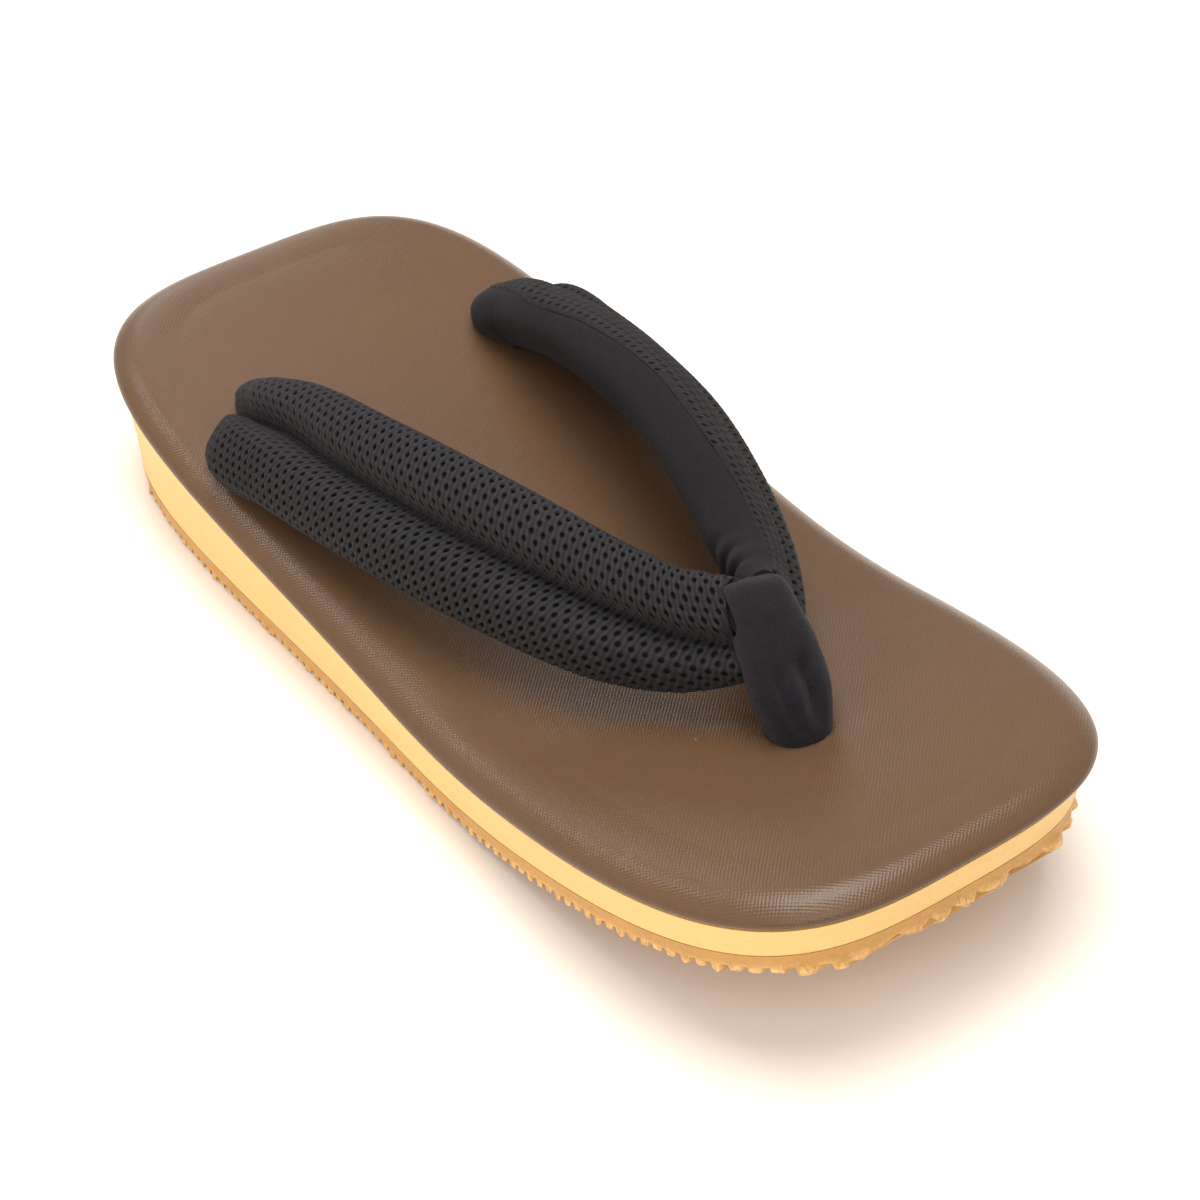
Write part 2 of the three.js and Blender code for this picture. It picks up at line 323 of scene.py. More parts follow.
def bump(tree, shader, height, depth):
    """Relief of the given depth in millimetres."""
    inputs = {"Height": height, "Distance": depth * MM, "Strength": 1.0}
    tree.links.new(add_node(tree, "ShaderNodeBump", inputs).outputs[0], shader.inputs["Normal"])


def mask_of(tree, name):
    return add_node(tree, "ShaderNodeAttribute", {}, attribute_name=name).outputs["Fac"]


GUM_DEEP = (0.56, 0.29, 0.075, 1)
GUM_CUT_HIGHLIGHT = (0.89, 0.56, 0.235, 1)
GUM_CUT_HIGHLIGHT_BETWEEN = (0.38, 0.62)
GUM_ROUGHNESS = (0.34, 0.62)
NOISE_SPAN = (0.3, 0.7)


def gum_rubber():
    material, tree, shader = new_material("gum_rubber")
    crumbs = noise(tree, place_in_mm(tree), scale=0.9, detail=4, roughness=0.65)
    # The ragged lower part of the edge is paler: partly freshly cut rubber, partly a painted highlight on
    # the rib ends. The deeper colour left on the band above it is partly painted shade under the wedge.
    fresh_cut_highlight = calc(tree, "MULTIPLY", mask_of(tree, "cut"), remap(tree, crumbs, GUM_CUT_HIGHLIGHT_BETWEEN))
    colour = mix_colours(tree, fresh_cut_highlight, GUM_DEEP, GUM_CUT_HIGHLIGHT)
    colour = mottled(tree, colour, spread=0.22, scale=0.12)
    rough = remap(tree, crumbs, NOISE_SPAN, GUM_ROUGHNESS)
    bump(tree, shader, crumbs, depth=0.35)
    set_shader(tree, shader, Base_Color=colour, Roughness=rough, Subsurface_Weight=0.22)
    set_shader(tree, shader, Subsurface_Radius=(1, 0.42, 0.16), Subsurface_Scale=0.0025)
    return material


outsole.data.materials.append(gum_rubber())
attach(outsole, "root")
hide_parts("outsole")


# Wedge
# The midsole, a block of yellow closed-cell foam cut to a wedge: high at the heel and thin at the toe.
# It is cemented to the outsole and the footbed, and its side is sanded flush with a slight draft.
HEEL_THICKNESS = 30.1
BALL_THICKNESS = 16.1
TOE_THICKNESS = 12.5
BALL_AT = 0.25
GLUE_LINE = 0.1
WEDGE_ROWS = [
    # inset, share of the height
    (2.8, 0),
    (2.68, 0.02),
    (2.58, 0.15),
    (2.5, 0.3),
    (2.2, 0.5),
    (1.9, 0.7),
    (1.5, 0.88),
    (1.25, 0.97),
    (2.4, 1),
]
WEDGE_SHARP_ABOVE = 50
PLAN_STEPS = 360
SANDED_BETWEEN = (0.3, 0.95)
SANDING_SEED = 5
SANDING_WAVE = 0.09
SANDING_RUNS = [(9, 13), (16, 18), (23, 23)]


def seat(x):
    """Height of the line where wedge and footbed meet."""
    station = x / HALF_LENGTH
    heel = HEEL_THICKNESS * (station - BALL_AT) * (station - 1) / ((-1 - BALL_AT) * -2)
    ball = BALL_THICKNESS * (station + 1) * (station - 1) / ((BALL_AT + 1) * (BALL_AT - 1))
    toe = TOE_THICKNESS * (station + 1) * (station - BALL_AT) / (2 * (1 - BALL_AT))
    return underside(x) + heel + ball + toe


PLAN = np.sin(np.linspace(-0.5, 0.5, PLAN_STEPS + 1) * math.pi)
RING_PLACES = np.concatenate([PLAN, PLAN[-2:0:-1]])
RING_SIDES = np.concatenate([-np.ones(PLAN_STEPS + 1), np.ones(PLAN_STEPS - 1)])


def rim_ring(inset):
    """Plan of one ring, from the heel's tip along the right side to the toe's tip and back."""
    x = (HALF_LENGTH - inset) * RING_PLACES
    return np.stack([x, RING_SIDES * half_width(RING_PLACES, inset)], axis=1)


def cap_across(ring, start, first_new, columns):
    """Closes a ring by strips from right to left. Gives the new points and all faces."""
    right = np.arange(1, PLAN_STEPS)
    left = 2 * PLAN_STEPS - right
    share = (np.arange(1, columns) / columns)[None, :, None]
    inner = ring[right][:, None] * (1 - share) + ring[left][:, None] * share
    index = first_new + np.arange(inner.shape[0] * inner.shape[1]).reshape(inner.shape[:2])
    grid = np.concatenate([start + right[:, None], index, start + left[:, None]], axis=1)
    corners = [grid[:-1, :-1], grid[1:, :-1], grid[1:, 1:], grid[:-1, 1:]]
    faces = np.stack(corners, axis=-1).reshape(-1, 4).tolist()
    for tip, row in ((start, grid[0]), (start + PLAN_STEPS, grid[-1])):
        faces += [(tip, int(row[j]), int(row[j + 1])) for j in range(columns)]
    return inner.reshape(-1, ring.shape[1]), faces


def stack_rings(rings, top_columns):
    """One closed shell from rings of points, lowest first."""
    count = len(rings[0])
    top_start = (len(rings) - 1) * count
    side_faces = tube_faces(len(rings), count)[:top_start]
    first_new = top_start + count
    top_points, top_faces = cap_across(rings[-1], top_start, first_new, top_columns)
    bottom_points, bottom_faces = cap_across(rings[0], 0, first_new + len(top_points), 1)
    return np.concatenate([*rings, top_points, bottom_points]), side_faces + top_faces + bottom_faces


def wedge_rings():
    rings = []
    phases = np.random.default_rng(SANDING_SEED).uniform(0, 2 * math.pi, len(SANDING_RUNS))
    rim = rim_ring(0)
    wander = 0
    for (run_x, run_y), phase in zip(SANDING_RUNS, phases):
        wander = wander + np.sin(rim[:, 0] / run_x + rim[:, 1] / run_y + phase)
    for inset, share in WEDGE_ROWS:
        plan = rim_ring(inset)
        if SANDED_BETWEEN[0] < share < SANDED_BETWEEN[1]:
            plan = plan * (1 + SANDING_WAVE / HALF_LENGTH * wander)[:, None]
        low = underside(plan[:, 0]) + OUTSOLE_THICKNESS + GLUE_LINE
        high = seat(plan[:, 0]) - GLUE_LINE
        rings.append(np.column_stack([plan, low + (high - low) * share]))
    return rings


wedge = add_piece("midsole_wedge", *stack_rings(wedge_rings(), 1), WEDGE_SHARP_ABOVE)
face_outwards(wedge)

FOAM_COLOUR = (0.83, 0.55, 0.205, 1)
FOAM_SHADE = (0.71, 0.425, 0.128, 1)
FOAM_SHADE_BETWEEN = (0.42, 0.7)
FOAM_SHADE_SHARE = 0.25
FOAM_ROUGHNESS = (0.48, 0.62)
SANDING_STRETCH = (0.05, 0.05, 1.4)
CELL_RELIEF_SHARE = 0.5


def wedge_foam():
    material, tree, shader = new_material("wedge_foam")
    cells = noise(tree, place_in_mm(tree), scale=1.6, detail=4, roughness=0.6)
    sanding = noise(tree, place_in_mm(tree, SANDING_STRETCH), scale=1.0, detail=3)
    shade = calc(tree, "MULTIPLY", remap(tree, sanding, FOAM_SHADE_BETWEEN), FOAM_SHADE_SHARE)
    colour = mix_colours(tree, shade, FOAM_COLOUR, FOAM_SHADE)
    colour = mottled(tree, colour, spread=0.07, scale=0.05)
    rough = remap(tree, cells, NOISE_SPAN, FOAM_ROUGHNESS)
    bump(tree, shader, blend(tree, cells, sanding, CELL_RELIEF_SHARE), depth=0.12)
    set_shader(tree, shader, Base_Color=colour, Roughness=rough, Subsurface_Weight=0.1)
    set_shader(tree, shader, Subsurface_Radius=(1, 0.6, 0.3), Subsurface_Scale=0.002)
    return material


wedge.data.materials.append(wedge_foam())
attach(wedge, "root")
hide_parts("midsole")


# Footbed
# A cushioned board wrapped in brown vinyl with an embossed linen grain. The vinyl is rolled over the
# edge and tucked in at the wedge, and drawn down a little at the two rear holes and the front one.
FOOTBED_ROWS = np.array([
    # inset, rise over the seat
    (3.6, 0.34),
    (1.5, 0.38),
    (0.45, 0.95),
    (0, 1.8),
    (0.45, 2.9),
    (1.6, 4),
    (3.3, 5.15),
    (5.3, 5.95),
    (8.5, 6.35),
    (13.5, 6.5),
])
FOOTBED_RINGS = 40
FOOTBED_COLUMNS = 84
CROWN_RISE = 0.5
CROWN_RUN = 6.0
DIMPLE_DEPTH = 0.45
DIMPLE_REACH = 0.9
HOLE_DEPTH = 5.4
HOLE_WALL = 0.2
HOLES = [
    # x, y, half length, half width
    (-62.5, 36.8, 4.4, 6.4),
    (-62.5, -36.8, 4.4, 6.4),
    (78.2, 0, 5.5, 5.7),
]


def smooth_rows(rows, places, route):
    """Rows of a table at places along it, by a smooth curve over the distance in the route's columns."""
    chord = np.linalg.norm(np.diff(rows[:, :route], axis=0), axis=1)
    reach = np.concatenate([[0], np.cumsum(chord)])
    slope = np.empty_like(rows)
    slope[1:-1] = (rows[2:] - rows[:-2]) / (reach[2:] - reach[:-2])[:, None]
    slope[0] = 1.5 * (rows[1] - rows[0]) / chord[0] - 0.5 * slope[1]
    slope[-1] = 1.5 * (rows[-1] - rows[-2]) / chord[-1] - 0.5 * slope[-2]
    place = np.asarray(places) * reach[-1]
    k = np.clip(np.searchsorted(reach, place, side="right") - 1, 0, len(rows) - 2)
    share = ((place - reach[k]) / chord[k])[..., None]
    span = chord[k][..., None]
    near = (1 + 2 * share) * (1 - share) ** 2 * rows[k] + share * (1 - share) ** 2 * span * slope[k]
    far = share**2 * (3 - 2 * share) * rows[k + 1] + share**2 * (share - 1) * span * slope[k + 1]
    return near + far


def drawn_down(x, y):
    """How far the vinyl is drawn down around the holes, and into them."""
    dip = np.zeros_like(x)
    for hole_x, hole_y, half_length, half_breadth in HOLES:
        away = np.hypot((x - hole_x) / half_length, (y - hole_y) / half_breadth)
        dimple = DIMPLE_DEPTH * bell(np.maximum(away - 1, 0) / DIMPLE_REACH)
        dip += dimple + (HOLE_DEPTH - DIMPLE_DEPTH) * ramp(1 - away, 0, HOLE_WALL)
    return dip


def crown(x, y, inset):
    """Rise of the cushion inside the rolled edge."""
    station = np.clip(x / (HALF_LENGTH - inset), -1, 1)
    from_side = np.maximum(half_width(station, inset) - np.abs(y), 0)
    from_tip = (1 - np.abs(station)) * (HALF_LENGTH - inset)
    return CROWN_RISE * (1 - np.exp(-from_side / CROWN_RUN)) * (1 - np.exp(-from_tip / CROWN_RUN))


def footbed_top(x, y):
    inset, rise = FOOTBED_ROWS[-1]
    return seat(x) + rise + crown(x, y, inset) - drawn_down(x, y)


def keep_lay(piece, places):
    """Where each point lies on the flat cloth, in millimetres."""
    flat = np.column_stack([places, np.zeros(len(places))])
    layer = piece.data.attributes.new("lay", "FLOAT_VECTOR", "POINT")
    layer.data.foreach_set("vector", flat.astype(np.float32).ravel())


def footbed_shape():
    profile = smooth_rows(FOOTBED_ROWS, np.linspace(0, 1, FOOTBED_RINGS), 2)
    steps = np.linalg.norm(np.diff(profile, axis=0), axis=1)
    over_edge = np.concatenate([np.cumsum(steps[::-1])[::-1], [0]])
    top_ring = rim_ring(profile[-1, 0])
    outward = unit(rim_ring(0) - top_ring)
    rings, lays = [], []
    for (inset, rise), run in zip(profile, over_edge):
        plan = rim_ring(inset)
        rings.append(np.column_stack([plan, seat(plan[:, 0]) + rise - drawn_down(*plan.T)]))
        lays.append(top_ring + outward * run)
    points, faces = stack_rings(rings, FOOTBED_COLUMNS)
    inner = points[len(rings) * len(RING_PLACES) :]
    inner[:, 2] = footbed_top(inner[:, 0], inner[:, 1])
    lays.append(inner[:, :2])
    return points, faces, np.concatenate(lays)


footbed_points, footbed_faces, footbed_lay = footbed_shape()
footbed = add_piece("footbed_vinyl", footbed_points, footbed_faces)
face_outwards(footbed)
keep_lay(footbed, footbed_lay)

VINYL_COLOUR = (0.127, 0.069, 0.036, 1)
VINYL_HOLLOW = (0.1, 0.053, 0.027, 1)
VINYL_THREAD = 0.45
GRAIN_COLOUR_BETWEEN = (0.3, 0.75)
GRAIN_GLOSS_BETWEEN = (0.3, 0.9)
VINYL_ROUGHNESS = (0.32, 0.18)
WAVER = 1.6
WEAVE_HEIGHT = 0.55
SLUB_HEIGHT = 0.6
SLUB_ALONG = 0.22
SLUB_ACROSS = 1.7
SPECK_COLOUR = (0.5, 0.45, 0.4, 1)
SPECK_STRENGTH = 0.35
SPECK_CHOICE = 0.56


def lay_of(tree):
    return add_node(tree, "ShaderNodeAttribute", {}, attribute_name="lay").outputs["Vector"]


def linen_group():
    """Relief of a plain weave with uneven threads, from 0 in the hollows to about 1."""
    inputs = {"Lay": (0, 0, 0), "Thread": 1.0}
    group, given, result = new_group("linen_grain", inputs, [("Height", "NodeSocketFloat")])
    parts = add_node(group, "ShaderNodeSeparateXYZ", {0: given["Lay"]}).outputs
    drift = noise(group, given["Lay"], scale=0.5, detail=1)
    waver = calc(group, "MULTIPLY_ADD", drift, WAVER, -WAVER / 2)
    turn = calc(group, "DIVIDE", math.pi, given["Thread"])
    waves = []
    for axis in ("X", "Y"):
        angle = calc(group, "MULTIPLY_ADD", parts[axis], turn, waver)
        waves.append(calc(group, "SINE", angle))
    weave = calc(group, "MULTIPLY_ADD", calc(group, "MULTIPLY", *waves), 0.5, 0.5)
    warp_place = stretched(group, given["Lay"], (SLUB_ALONG, SLUB_ACROSS, 1))
    weft_place = stretched(group, given["Lay"], (SLUB_ACROSS, SLUB_ALONG, 1))
    slubs = [noise(group, place, scale=1.0, detail=2) for place in (warp_place, weft_place)]
    slub = calc(group, "MULTIPLY", calc(group, "MAXIMUM", *slubs), SLUB_HEIGHT)
    group.links.new(calc(group, "MULTIPLY_ADD", weave, WEAVE_HEIGHT, slub), result["Height"])
    return group


def specks_group():
    """A thin scatter of pale dust over a colour."""
    inputs = {"Colour": (0.5, 0.5, 0.5, 1), "Dust": SPECK_COLOUR, "Scale": 0.2, "Size": 0.1}
    group, given, result = new_group("dust_specks", inputs, [("Colour", "NodeSocketColor")])
    scatter = {"Vector": place_in_mm(group), "Scale": given["Scale"], "Randomness": 1.0}
    cells = add_node(group, "ShaderNodeTexVoronoi", scatter)
    size = calc(group, "MULTIPLY", given["Size"], given["Scale"])
    near = calc(group, "LESS_THAN", cells.outputs["Distance"], size)
    chance = noise(group, cells.outputs["Position"], scale=7.0, detail=0)
    chosen = calc(group, "GREATER_THAN", chance, SPECK_CHOICE)
    share = calc(group, "MULTIPLY", calc(group, "MULTIPLY", near, chosen), SPECK_STRENGTH)
    group.links.new(mix_colours(group, share, given["Colour"], given["Dust"]), result["Colour"])
    return group


LINEN = linen_group()
SPECKS = specks_group()


def embossed_vinyl():
    material, tree, shader = new_material("embossed_vinyl")
    grain = place_group(tree, LINEN, {"Lay": lay_of(tree), "Thread": VINYL_THREAD})["Height"]
    colour = mix_colours(tree, remap(tree, grain, GRAIN_COLOUR_BETWEEN), VINYL_HOLLOW, VINYL_COLOUR)
    colour = mottled(tree, colour, spread=0.12, scale=0.03)
    colour = place_group(tree, SPECKS, {"Colour": colour, "Scale": 0.11, "Size": 0.26})["Colour"]
    rough = remap(tree, grain, GRAIN_GLOSS_BETWEEN, VINYL_ROUGHNESS)
    bump(tree, shader, grain, depth=0.08)
    set_shader(tree, shader, Base_Color=colour, Roughness=rough, Specular_IOR_Level=0.33)
    return material


footbed.data.materials.append(embossed_vinyl())
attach(footbed, "root")
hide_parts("footbed")


# Strap rolls
# The padded V: two stuffed rolls side by side on each arm, drawn together by a sewn channel along the
# face. Brushed black cloth wraps the back and sides, and the rear ends are pulled into the footbed.
ARM_ROWS = np.array([
    # x, out, z, width, thickness, lean in degrees
    (-70.6, 36.4, 32.3, 6, 3.6, 80),
    (-69.9, 36.4, 32.6, 12.4, 6.4, 79),
    (-68.4, 36.5, 33.1, 17.4, 8.6, 76),
    (-66, 36.6, 34.1, 21.6, 11, 73),
    (-62.6, 36.8, 35.4, 24.6, 13, 68),
    (-56.6, 37, 37.5, 26.6, 15.2, 62),
    (-45, 35.5, 40.8, 28, 15.4, 52),
    (-25, 33.9, 44.2, 29, 15.2, 41),
    (0, 30.2, 46.4, 29.8, 15, 34),
    (22, 24.2, 45.9, 29.2, 14.8, 30),
    (40, 17.8, 44.6, 27.4, 14.2, 25),
    (52, 11.8, 44.9, 25, 13, 21),
    (60, 6.8, 47, 22.5, 10.8, 18),
    (67.5, 2.9, 50.6, 18.5, 8, 18),
])
SEAM_ROWS = np.array([
    # share of the arm's length, distance of the seam above the middle of the face
    (0, 1.6),
    (0.12, 1.8),
    (0.3, 0.95),
    (0.5, 1),
    (0.65, 1.4),
    (0.77, 1.8),
    (0.86, 0.8),
    (0.93, -1.1),
    (1, -3.2),
])
PUCKERS = [
    # distance from the point of the V, depth, half width
    (6.5, 1.4, 1.2),
    (12.5, 0.9, 1.6),
    (19, 0.5, 2.2),
]
PUCKER_SLANT = 4.5
PUCKER_ROUND = (-0.35, 0.45)
PUCKER_NARROWING = 0.4
ARM_LENGTH = float(np.linalg.norm(np.diff(ARM_ROWS[:, :3], axis=0), axis=1).sum())
ARM_STATIONS = 280
ARM_TURNS = 96
REAR_CROWDING = 0.6
SLOPE_STEP = 0.3
STRAP_SHARP_ABOVE = 60
GAP = 0.3
MIDDLE_GAP = 0.05
ROLL_FULLNESS = 0.85
CHANNEL_DEPTH = 0.38
CHANNEL_REACH = 0.23
CHANNEL_SHAPE = 2.0
# Where the arms differ, 1 is the left one and -1 the right one.
REAR_UPPER = {1: 5.0, -1: 9.2}
REAR_LOWER = 6.6
REAR_STEP = 4.5
REAR_SHIFT = 1.5
REAR_RUN = 15.0
BACK_FULLNESS = 0.25
BACK_RUN = 18.0
BACK_MIDDLE = 0.15
BACK_MIDDLE_FROM = (0.15, 0.4)
BACK_MIDDLE_TO = (0.75, 1)
NOTCH_DEPTH = 2.6
NOTCH_WIDTH = 3.0
NOTCH_RUN = 5.0
NOTCH_ROUND = (-0.7, 0.2)
# How far inside the upper rim the mesh ends, at shares of the arm's length.
MESH_EDGE_AT = (0, 0.06, 0.14, 0.25, 0.5, 0.7, 0.85, 1)
MESH_EDGE_ABOVE = {
    1: (8, 8, 4, 0.8, 2, 3, 3.8, 3),
    -1: (1.2, 1.2, 0.8, 0.2, -1.2, -1.6, -1.6, -1),
}
MESH_EDGE_BELOW = 1.2
MESH_SETTLE_START = 0.15
MESH_SETTLE_RUN = 6
MESH_SINK = 0.75
MESH_SINK_BETWEEN = (0.1, 0.9)
MESH_REAR = {1: 4.0, -1: 0.9}
FACE_START = -0.5
FACE_TURNS = 181
TAIL_PLACE = (-62.5, 36.8)
TAIL_HALF_SIZE = (4.0, 6.0)
TAIL_TOP = 33.5
TAIL_SIDES = 40
TAIL_LEVELS = 6


def power(value, exponent):
    return np.sign(value) * np.abs(value) ** exponent


def full_turn(count):
    return np.linspace(0, 2 * math.pi, count, endpoint=False)


def seam_offset(place):
    return smooth_rows(SEAM_ROWS, place, 1)[..., 1]


def seam_turn(place):
    width = smooth_rows(ARM_ROWS, place, 3)[..., 3]
    return np.arccos(power(2 * seam_offset(place) / width, 1 / ROLL_FULLNESS))


def puckers(distance, turn):
    """Depth of the gathers in the backing behind the front loop."""
    round_the_back = math.pi - np.abs(turn % (2 * math.pi) - math.pi)
    from_point = ARM_LENGTH - distance - PUCKER_SLANT * round_the_back
    gathers = sum(depth * bell((from_point - at) / wide) for at, depth, wide in PUCKERS)
    return gathers * ramp(-np.sin(turn), *PUCKER_ROUND)


def arm_points(place, turn, side, grow=0.0):
    """Points of an arm, laid as the left one, at shares of its length and turns about its middle line."""
    place, turn = np.broadcast_arrays(place, turn)
    distance = place * ARM_LENGTH
    share = power(np.cos(turn), ROLL_FULLNESS)
    middle = seam_offset(place)
    rows = smooth_rows(ARM_ROWS, place, 3)
    off_seam = share * rows[..., 3] / 2 - middle
    notch = NOTCH_DEPTH * np.exp(-((off_seam / NOTCH_WIDTH) ** 2) - (distance / NOTCH_RUN) ** 2)
    notch = notch * ramp(np.sin(turn), *NOTCH_ROUND)
    rear_reach = np.where(off_seam > 0, REAR_UPPER[side], REAR_LOWER)
    skew = rear_reach * np.tanh(off_seam / REAR_STEP) + REAR_SHIFT
    skew = skew * bell(distance / REAR_RUN) - notch
    step = SLOPE_STEP / ARM_LENGTH
    ahead = smooth_rows(ARM_ROWS, np.clip(place + step, 0, 1), 3)
    behind = smooth_rows(ARM_ROWS, np.clip(place - step, 0, 1), 3)
    along = unit(ahead[..., :3] - behind[..., :3])
    outward = unit(np.cross([0, 0, 1.0], along))
    upright = np.cross(along, outward)
    lean = np.radians(rows[..., 5:6])
    across = np.cos(lean) * upright - np.sin(lean) * outward
    face = np.cos(lean) * outward + np.sin(lean) * upright
    width, thickness = rows[..., 3] + 2 * grow, rows[..., 4] + 2 * grow
    drawn_in = puckers(distance, turn)
    sideways = share * (width / 2 - PUCKER_NARROWING * drawn_in)
    forward = power(np.sin(turn), ROLL_FULLNESS) * (thickness / 2 - drawn_in)
    fuller = BACK_FULLNESS * bell(distance / BACK_RUN)
    fuller = fuller + BACK_MIDDLE * ramp(place, *BACK_MIDDLE_FROM) * (1 - ramp(place, *BACK_MIDDLE_TO))
    forward = np.where(forward < 0, forward * (1 + fuller), forward)
    from_seam = np.minimum(np.abs(sideways - middle) / (CHANNEL_REACH * width), 1)
    sunk = np.where(forward > 0, CHANNEL_DEPTH * thickness * (1 - from_seam) ** CHANNEL_SHAPE, 0)
    spots = rows[..., :3] + sideways[..., None] * across + (forward - sunk)[..., None] * face
    return spots - skew[..., None] * along


def surface_normals(points):
    """Outward normals of a grid of points that runs along the arm and round it."""
    along = np.gradient(points, axis=0)
    round_it = np.gradient(points, axis=1)
    return unit(np.cross(along, round_it))


def arm_places():
    """Stations along the arm, closer together at the rounded rear end."""
    even = np.linspace(0, 1, ARM_STATIONS)
    return REAR_CROWDING * even**2 + (1 - REAR_CROWDING) * even


def face_spread(points, turns, seam_turns):
    """Distance across the face from the seam, for each point of a grid, negative on the upper roll."""
    steps = np.linalg.norm(np.diff(points, axis=1), axis=2)
    spread = np.concatenate([np.zeros((len(points), 1)), np.cumsum(steps, axis=1)], axis=1)
    at_seam = [np.interp(seam, turns, row) for seam, row in zip(seam_turns, spread)]
    return spread - np.array(at_seam)[:, None]


def clear_of_neighbours(points):
    """Keeps the arm on its own side of the middle plane and on top of the footbed."""
    points[..., 1] = np.maximum(points[..., 1], MIDDLE_GAP)
    rests_on = seat(points[..., 0]) + FOOTBED_ROWS[-1, 1] + CROWN_RISE + GAP
    points[..., 2] = np.maximum(points[..., 2], rests_on)
    return points


def mesh_limits(distance, upper_rim, lower_rim, side):
    """Where the mesh ends across the face, near the rims of both rolls."""
    settle = np.clip(MESH_SETTLE_START + distance / MESH_SETTLE_RUN, 0, 1)
    above = np.interp(distance / ARM_LENGTH, MESH_EDGE_AT, MESH_EDGE_ABOVE[side])
    return upper_rim + above * settle, lower_rim - MESH_EDGE_BELOW * settle


def rim_spread(turns, spread):
    """Distance of the upper rim from the seam at each station."""
    return np.array([np.interp(0, turns, row) for row in spread])


def arm_shell(side):
    """The rolls of one arm, sunk where the mesh covers them, and a mask of that part."""
    place = arm_places()[:, None]
    turn = full_turn(ARM_TURNS)[None]
    round_it = np.concatenate([turn[:, -1:] - 2 * math.pi, turn, turn[:, :1] + 2 * math.pi], axis=1)
    wrapped = arm_points(place, round_it, side)
    normals = surface_normals(wrapped)[:, 1:-1]
    points = wrapped[:, 1:-1]
    face_turns = np.linspace(FACE_START, math.pi, FACE_TURNS)
    spread = face_spread(arm_points(place, face_turns[None], side), face_turns, seam_turn(place[:, 0]))
    rim = rim_spread(face_turns, spread)[:, None]
    upper, lower = mesh_limits(place * ARM_LENGTH, rim, spread[:, -1:], side)
    from_rim = np.where(turn > 2 * math.pi + FACE_START, turn - 2 * math.pi, turn)
    across = np.stack([np.interp(from_rim[0], face_turns, row) for row in spread])
    inside = np.minimum(across - upper, lower - across)
    inside = np.minimum(inside, place * ARM_LENGTH - MESH_REAR[side])
    under = ramp(inside, *MESH_SINK_BETWEEN) * (from_rim < math.pi)
    return clear_of_neighbours(points - normals * (MESH_SINK * under)[..., None]), under


def tail_shell(side):
    """The tail that goes from under the arm's rear end down into its hole."""
    turn = full_turn(TAIL_SIDES)
    x = TAIL_PLACE[0] + TAIL_HALF_SIZE[0] * np.cos(turn)
    y = side * (TAIL_PLACE[1] + TAIL_HALF_SIZE[1] * np.sin(turn))
    foot = seat(TAIL_PLACE[0]) + FOOTBED_ROWS[-1, 1] - HOLE_DEPTH + 2 * GAP
    levels = np.linspace(foot, TAIL_TOP, TAIL_LEVELS)
    return np.stack([np.column_stack([x, y, np.full(TAIL_SIDES, z)]) for z in levels])


def joined(shells):
    """Tubes of points, given as grids, as one list of points and faces."""
    points, faces, start = [], [], 0
    for shell in shells:
        rings, sides = shell.shape[:2]
        points.append(shell.reshape(-1, 3))
        faces += [tuple(start + k for k in face) for face in tube_faces(rings, sides)]
        start += rings * sides
    return np.concatenate(points), faces


MIRROR = np.array([1, -1, 1])
left_arm, under_left = arm_shell(1)
right_arm, under_right = arm_shell(-1)
tails = [tail_shell(1), tail_shell(-1)]
strap = add_piece("strap_rolls", *joined([left_arm, right_arm * MIRROR] + tails), STRAP_SHARP_ABOVE)
face_outwards(strap)
under_tails = np.zeros(2 * tails[0][..., 0].size)
keep_mask(strap, "under_mesh", np.concatenate([under_left.ravel(), under_right.ravel(), under_tails]))

BACKING_COLOUR = (0.0105, 0.0088, 0.0098, 1)
PADDING_SHADE = (0.012, 0.0108, 0.0116, 1)
TUFTS = 0.22
FIBRE_SHARE = 0.7
PILE_BETWEEN = (0.35, 0.65)
PILE_BRIGHTNESS = (0.72, 1.3)


def nap_group():
    """Short brushed fibres: a colour with paler tips, and a relief."""
    inputs = {"Colour": (0.1, 0.1, 0.1, 1), "Scale": 2.0}
    outputs = [("Colour", "NodeSocketColor"), ("Height", "NodeSocketFloat")]
    group, given, result = new_group("brushed_nap", inputs, outputs)
    place = place_in_mm(group)
    fibres = noise(group, place, given["Scale"], detail=5, roughness=0.7)
    tufts = noise(group, place, calc(group, "MULTIPLY", given["Scale"], TUFTS), detail=3)
    pile = blend(group, fibres, tufts, FIBRE_SHARE)
    bright = remap(group, pile, PILE_BETWEEN, PILE_BRIGHTNESS)
    group.links.new(brightened(group, given["Colour"], bright), result["Colour"])
    group.links.new(pile, result["Height"])
    return group


NAP = nap_group()


def backing_cloth():
    material, tree, shader = new_material("backing_cloth")
    base = mix_colours(tree, mask_of(tree, "under_mesh"), BACKING_COLOUR, PADDING_SHADE)
    nap = place_group(tree, NAP, {"Colour": base, "Scale": 2.4})
    colour = place_group(tree, SPECKS, {"Colour": nap["Colour"], "Scale": 0.25, "Size": 0.12})["Colour"]
    bump(tree, shader, nap["Height"], depth=0.25)
    set_shader(tree, shader, Base_Color=colour, Roughness=0.92, Specular_IOR_Level=0.2)
    set_shader(tree, shader, Sheen_Weight=0.05, Sheen_Roughness=0.45)
    return material


strap.data.materials.append(backing_cloth())
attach(strap, "root")
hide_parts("strap")


# Strap mesh
# Knitted black spacer mesh stretched over the face of both rolls, with small round holes in staggered
# rows along the arm. Its edges are sewn under the backing, and the channel draws it down at the seam.
HOLE_PITCH = 2.65
ROW_PITCH = 1.9
HOLE_HALF_SIZE = np.array([0.5, 0.6])
CHEVRON = 0.32
CHEVRON_ROUND = 2.0
MESH_START = 8.0
MESH_END = 16
EDGE_LIFT = -0.2
